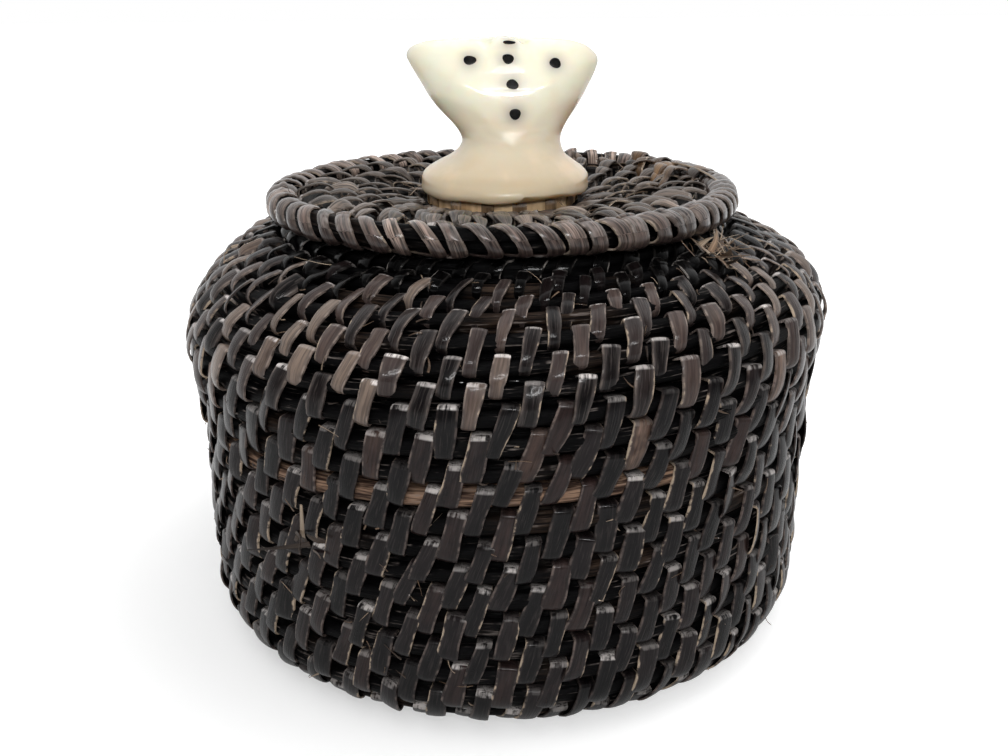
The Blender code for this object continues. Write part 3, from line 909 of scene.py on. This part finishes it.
rimRod = levelRod("lidRimRod", lid, lid.length, half=1.48 * mm, depth=1.48 * mm, seed=73, tone=0.03, dull=0.5)
rimBindings = bindings("lidRimStrips", lid, lid.length - halfCoil, lid.length + halfCoil, rimAngles, rimHalf,
                       rimStrips, 71, **rimStripShape)
lidPieces += [rimBindings, rimRod]
rng = np.random.RandomState(21)
spliceTheta = np.radians(rng.uniform(*spliceBetween, spliceCount))
spliceS = rng.uniform(*spliceAcross, spliceCount) * mm
flange, collar = flangeOutline(), collarOutline()
flangeHalf = flange.length / 4 + 0.08 * mm  # of each of its two rods
highRod = flange.length - flangeHalf + 0.3 * mm
lidPieces += [
    bindings("lidSplices", lid, spliceS - spliceHalf, spliceS + spliceHalf, spliceTheta, halfLid, amberFray,
             22, lift=rng.uniform(0.0, 1.0, spliceCount) * mm, **spliceShape),
    loosePiece("lidHairs", lid, lidHairShape),
    bindings("flangeStrips", flange, 0.0, flange.length, evenly(ringStrips), halfLid, strips, 79),
    levelRod("flangeRodLow", flange, flangeHalf, flangeHalf, depth=1.05 * mm, seed=83),
    levelRod("flangeRodHigh", flange, highRod, flangeHalf, depth=1.05 * mm, seed=89),
    levelRod("collarRod", collar, collar.length / 2, collar.length / 2, depth=0.75 * mm, seed=91, dull=0.6)]
for piece in lidPieces:
    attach(piece, "lid")
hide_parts("lid_courses")
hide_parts("lid_rim_course")
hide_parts("lid_flange_courses")
print("lid woven:", len(lidTurns), "strips")


# the starting discs and the strips that tie them to the coil

discTieCount = 14
discTieShape = dict(lean=0.0, width=1.95 * mm, corners=(0.35, 0.35))


def coat(node, material):
    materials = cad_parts[node].data.materials
    materials.clear()
    materials.append(material)


def dressDisc(node, bodyName, seed):
    low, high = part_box(node)
    coat(node, discIvory)
    middle = (low.z + high.z) / 2
    outline = Outline([(high.x - 2.0 * mm, middle), (high.x, middle)], side=-1.0)
    ties = bindings(node + "_lashing", outline, 0.5 * mm, outline.length + 0.2 * mm,
                    evenly(discTieCount) + pi / 2, (high.z - low.z) / 2 + 0.12 * mm, lashings, seed,
                    **discTieShape)
    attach(ties, bodyName)


dressDisc("base_start_disc", "basket", 91)
dressDisc("lid_start_disc", "lid", 97)


# the finial: a carved whale's tail

finialShape = {
    "height": 20.2 * mm,
    # share of the height, then how far it reaches left, right, and front and back
    "outline": (
        (0.000, 11.5, 11.4, 11.4), (0.012, 11.7, 11.6, 11.55), (0.070, 11.75, 11.7, 11.45),
        (0.105, 11.7, 11.7, 10.9), (0.145, 11.2, 11.1, 10.2), (0.190, 9.8, 9.9, 9.1),
        (0.240, 7.8, 8.6, 7.8), (0.290, 6.5, 8.0, 6.7), (0.345, 6.0, 7.8, 5.9),
        (0.400, 6.3, 8.0, 5.4), (0.460, 7.2, 8.6, 5.1), (0.520, 8.4, 9.4, 5.0),
        (0.580, 9.5, 10.2, 4.9), (0.640, 10.4, 10.9, 4.7), (0.700, 11.1, 11.5, 4.35),
        (0.760, 11.8, 12.1, 3.85), (0.820, 12.5, 12.6, 3.3), (0.865, 13.0, 12.8, 2.8),
        (0.900, 13.3, 12.6, 2.4), (0.940, 13.1, 11.8, 2.0), (0.975, 12.2, 10.6, 1.5),
        (1.000, 10.6, 8.8, 0.9)),
    "aside": 0.38 * mm,  # it was set a little to the right
    "tongueHalfWidth": 2.4 * mm,  # the raised middle, at the crest; lower down it widens to the lobes
    "notch": 0.55 * mm,
    "around": 144,
    "levels": 130,
}

inlayShape = {
    "radius": 0.76 * mm,
    "proud": 0.06 * mm,
    "sides": 20,
    # where each lies: across, as a share of the half-width, and up, as a share of the height; the
    # crest's is seen nearly edge on
    "places": {
        "inlay_left_lobe": (-0.34, 0.88), "inlay_right_lobe": (0.54, 0.857),
        "inlay_crest": (0.13, 0.975), "inlay_upper": (0.065, 0.888),
        "inlay_middle": (0.08, 0.728), "inlay_lower": (0.105, 0.54)},
}


def smoothTable(table, at):  # a smooth curve through the table's rows
    table = np.array(table)
    x, rows = table[:, 0], table[:, 1:]
    slope = np.gradient(rows, x, axis=0)
    i = np.clip(np.searchsorted(x, at) - 1, 0, len(x) - 2)
    gap = (x[i + 1] - x[i])[..., None]
    u = (at - x[i])[..., None] / gap
    return ((2 * u**3 - 3 * u**2 + 1) * rows[i] + (u**3 - 2 * u**2 + u) * slope[i] * gap
            + (-2 * u**3 + 3 * u**2) * rows[i + 1] + (u**3 - u**2) * slope[i + 1] * gap)


def bump(distance, width):
    return np.exp(-((distance / width) ** 2))


def finialPoint(share, angle):  # the carved surface at a share of the height and an angle from the right
    f = finialShape
    share, angle = np.broadcast_arrays(share, angle)
    left, right, half = np.moveaxis(smoothTable(f["outline"], share) * mm, -1, 0)
    tail = ease(share, 0.42, 0.2)
    power = 1.0 - 0.22 * tail  # the tail's section is squarer than the foot's
    cosine, sine = np.cos(angle), np.sin(angle)
    cosine = np.sign(cosine) * np.abs(cosine) ** power
    x = (right - left) / 2 + (right + left) / 2 * cosine
    y = half * np.sign(sine) * np.abs(sine) ** (1.0 + 0.5 * tail)
    # under the lobes the sides fall back and leave a middle that comes to a point at the waist
    reach = np.interp(share, (0.0, 0.3, 0.345, 0.42, 0.55, 0.67), (-2.4, -2.4, -0.8, 1.6, 3.8, 5.6)) * mm
    outside = ease(np.abs(x - 0.9 * mm), reach, 2.4 * mm)
    fallen = outside * ease(share, 0.27, 0.08) * (1 - ease(share, 0.5, 0.16))
    # a raised rib runs up to the crest, between two creases
    rib = f["tongueHalfWidth"] * (1 + 0.5 * bump(share - 0.8, 0.05))
    high = ease(share, 0.79, 0.09)
    crease = bump(np.abs(x - 0.5 * mm) - rib, 0.6 * mm)
    inside = ease(rib, np.abs(x - 0.5 * mm), 1.2 * mm)
    y = y + (0.3 * mm * high * (inside - crease) - 0.16 * mm * fallen) * np.sign(sine) * np.abs(sine) ** 0.5
    notch = f["notch"] * bump(np.abs(x - 0.3 * mm) - rib, 0.8 * mm) * ease(share, 0.86, 0.14)
    crest = 0.35 * mm * inside * ease(share, 0.9, 0.1)
    z = finialFoot + f["height"] * share - notch + crest - 0.35 * mm
    # the foot's front edge is chipped at the right
    chip = 0.55 * mm * ease(x, 2.0 * mm, 0.5 * mm) * ease(9.5 * mm, x, 3 * mm) * (y < 0)
    z = z + chip * ease(1 - share / 0.06) + 0.12 * mm * np.sin(x * 900.0) * ease(1 - share / 0.05)
    return np.stack([x + f["aside"], y, z], axis=-1)


def inlaySpot(across, share):  # a point of the front face and its outward direction
    left, right, _ = smoothTable(finialShape["outline"], np.array(share)) * mm
    wanted = (right + left) / 2 * across + (right - left) / 2 + finialShape["aside"]
    angles = np.linspace(-pi * 0.98, -pi * 0.02, 600)
    angle = angles[np.argmin(np.abs(finialPoint(share, angles)[:, 0] - wanted))]
    here = Vector(finialPoint(share, angle))
    aside = Vector(finialPoint(share, angle + 0.03)) - Vector(finialPoint(share, angle - 0.03))
    above = Vector(finialPoint(min(share + 0.01, 1.0), angle)) - Vector(finialPoint(share - 0.01, angle))
    return here, aside.cross(above).normalized()


def finialPiece():
    f = finialShape
    shares = np.linspace(0.0, 1.0, f["levels"])
    angle = np.linspace(0.0, 2 * pi, f["around"], endpoint=False)
    rings = finialPoint(shares[:, None], angle[None, :])
    middle = rings[-1].mean(axis=0)
    crown = [middle + (rings[-1] - middle) * shrink + np.array([0, 0, 0.5 * mm * (1 - shrink**2)])
             for shrink in (0.93, 0.8, 0.55, 0.25)]  # a rounded top
    points = np.concatenate([rings, np.array(crown)])
    hole = np.zeros(points.shape[:2])
    for across, share in inlayShape["places"].values():
        spot, _ = inlaySpot(across, share)
        hole = np.maximum(hole, bump(np.linalg.norm(points - np.array(spot), axis=-1), 1.5 * mm))
    width = np.abs(points[..., 0])
    width = width / width.max(axis=1)[:, None]
    marks = {"hole": hole, "edge": ease(width, 0.7, 0.3)}
    return meshPiece("finial", points, tubeFaces(*points.shape[:2]), ivory, marks, sharp=75)


def inlayPiece(node, across, share, seed):
    rng, sides = np.random.RandomState(seed), inlayShape["sides"]
    spot, out = inlaySpot(across, share)
    side = out.cross(Vector((0, 0, 1))).normalized()
    up = side.cross(out)
    angles = np.linspace(0, 2 * pi, sides, endpoint=False)
    wobble = 1 + 0.07 * np.sin(2 * angles + rng.rand() * 6) + 0.05 * np.sin(3 * angles + rng.rand() * 6)
    tall = 0.4 if node == "inlay_crest" else 0.9
    levels = ((1.0, -0.5), (1.0, 0.3), (0.9, 0.8), (0.6, 1.0))
    points = []
    for shrink, height in levels:
        for angle, wide in zip(angles, wobble):
            reach = inlayShape["radius"] * shrink * wide
            points.append(spot + side * cos(angle) * reach * 1.08 + up * sin(angle) * reach * tall
                          + out * inlayShape["proud"] * height * (4.0 if height < 0 else 1.0))
    points = np.array([list(point) for point in points])
    piece = meshPiece(node + "_dot", points, tubeFaces(len(levels), sides), inlayBlack, {}, flip=True)
    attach(piece, "lid")
    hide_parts(node)


finial = finialPiece()
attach(finial, "lid")
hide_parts("finial_tail")
for seed, (node, (across, share)) in enumerate(inlayShape["places"].items()):
    inlayPiece(node, across, share, seed + 5)
coat("finial_peg", ivory)
print("finial carved")


# floor, lights and camera

roomLook = {
    "floorColour": (0.5, 0.5, 0.5),
    "floorSize": 3.0,
    "floorGlow": 0.46,  # painted shadow: the floor's glow is lower beside the basket, rising to white further out
    # the painted shadow's middle, a little to the left, and where it fades out
    "glowMiddle": (-0.017, 0.005, 0.0),
    "glowRange": (0.03, 0.1),
    "front": 0.1,  # what the room gives from the camera's side
    "back": 0.55,
    "mirrored": 0.06,  # how bright the camera's side is in reflections
}

lamps = {
    "ceilingLight": dict(place=(0.11, 0.0, 0.51), target=(0, 0, 0.06), size=0.42, power=0.8),
    "frontLight": dict(place=(-0.05, -0.29, 0.44), target=(0, 0, 0.05), size=0.26, power=1.1),
}

tubes = {  # each shows as a line of light on the finial
    "bowTube": dict(place=(0.0, -0.38, 0.565), width=0.36, height=0.32, thickness=0.0032,
                    first=radians(236), last=radians(304), strength=50.0),
    "ringTube": dict(place=(0.012, -0.38, 0.298), width=0.085, height=0.034, thickness=0.0026,
                     first=0, last=2 * pi, strength=64.0),
}


def seen(f, depth, low, high):
    # 1 on the rays that show the background and 0 on the light that it gives; in a reflection it
    # rises from dark to 1 between two depths, low and high
    dark = roomLook["mirrored"]
    camera, glossy, through = [f.add("ShaderNodeLightPath", out=out)
                               for out in ("Is Camera Ray", "Is Glossy Ray", "Is Transmission Ray")]
    return camera.most(glossy.most(through) * (dark + depth.rise(low, high) * (1.0 - dark)))


def floorPiece():
    look, size = roomLook, roomLook["floorSize"]
    f = Finish("paleFloor", {"Base Color": look["floorColour"], "Roughness": 0.9, "Emission Strength": 1.0})
    away = f.add("ShaderNodeVectorMath", {"operation": "DISTANCE"}, {0: f.place(), 1: look["glowMiddle"]},
                 "Value")
    # painted shadow on the floor round the basket
    glow = look["floorGlow"] + away.rise(*look["glowRange"]) * (1.0 - look["floorGlow"])
    shown = seen(f, f.axis(f.place(), "Y"), -0.06, 0.12)
    f.set({"Emission Color": f.blend(shown * glow, (0, 0, 0), (1, 1, 1))})
    corners = np.array([(-size, -size, 0), (size, -size, 0), (size, size, 0), (-size, size, 0)])
    floor = meshPiece("floor", corners, [(0, 1, 2, 3)], f.owner, {})


def skyRoom():
    room = Finish("paleRoom", {"Color": (1, 1, 1)}, bpy.data.worlds, "Background")
    bpy.context.scene.world = room.owner
    depth = room.axis(room.add("ShaderNodeTexCoord", out="Generated"), "Y")
    soft = roomLook["front"] + depth.rise(-0.45, 0.1) * (roomLook["back"] - roomLook["front"])
    room.set({"Strength": soft.most(seen(room, depth, -0.2, 0.35))})


def areaLight(name, look):
    light = bpy.data.lights.new(name, "AREA")
    light.energy, light.size = look["power"], look["size"]
    lamp = newObject(name, light)
    lamp.location = look["place"]
    aim = Vector(look["target"]) - Vector(look["place"])
    lamp.rotation_euler = aim.to_track_quat("-Z", "Y").to_euler()
    lamp.visible_glossy = False


def tubeLamp(name, look):  # a glowing tube bent along part of an oval, that faces the basket
    rings, sides = 49, 8
    angles = np.linspace(look["first"], look["last"], rings)
    middle = np.stack([look["width"] * np.cos(angles), angles * 0, look["height"] * np.sin(angles)], axis=1)
    around = np.linspace(0, 2 * pi, sides, endpoint=False)[:, None]
    aside = np.cross(unit(np.gradient(middle, axis=0)), (0, 1, 0))[:, None]
    ring = np.cos(around) * aside + np.sin(around) * np.array([0, 1, 0])
    points = middle[:, None] + look["thickness"] * ring + np.array(look["place"])
    glow = Finish(name + "Glow", {"Emission Color": (1, 1, 1), "Emission Strength": look["strength"]})
    meshPiece(name, points, tubeFaces(rings, sides, capped=False), glow.owner, {})


floorPiece()
skyRoom()
for name, look in lamps.items():
    areaLight(name, look)
for name, look in tubes.items():
    tubeLamp(name, look)

cameraFit = {
    "lens": 38.46,
    "sensorWidth": 36.0,
    "distance": 153.1 * mm,  # from the basket's axis, level
    "aboveLid": 27.5 * mm,  # over the middle of the lid's rim
    "pitch": radians(19.98),  # down
    "roll": radians(0.49),
}


def photoCamera():
    c = cameraFit
    data = bpy.data.cameras.new("photoCamera")
    data.lens, data.sensor_width, data.sensor_fit = c["lens"], c["sensorWidth"], "HORIZONTAL"
    data.clip_start = 0.01
    camera = newObject("photoCamera", data)
    camera.matrix_world = (Matrix.Translation((0, -c["distance"], rimMiddle + c["aboveLid"]))
                           @ Matrix.Rotation(pi / 2 - c["pitch"], 4, "X")
                           @ Matrix.Rotation(-c["roll"], 4, "Z"))
    bpy.context.scene.camera = camera


photoCamera()
bpy.context.scene.view_settings.view_transform = "Standard"
print("room lit")
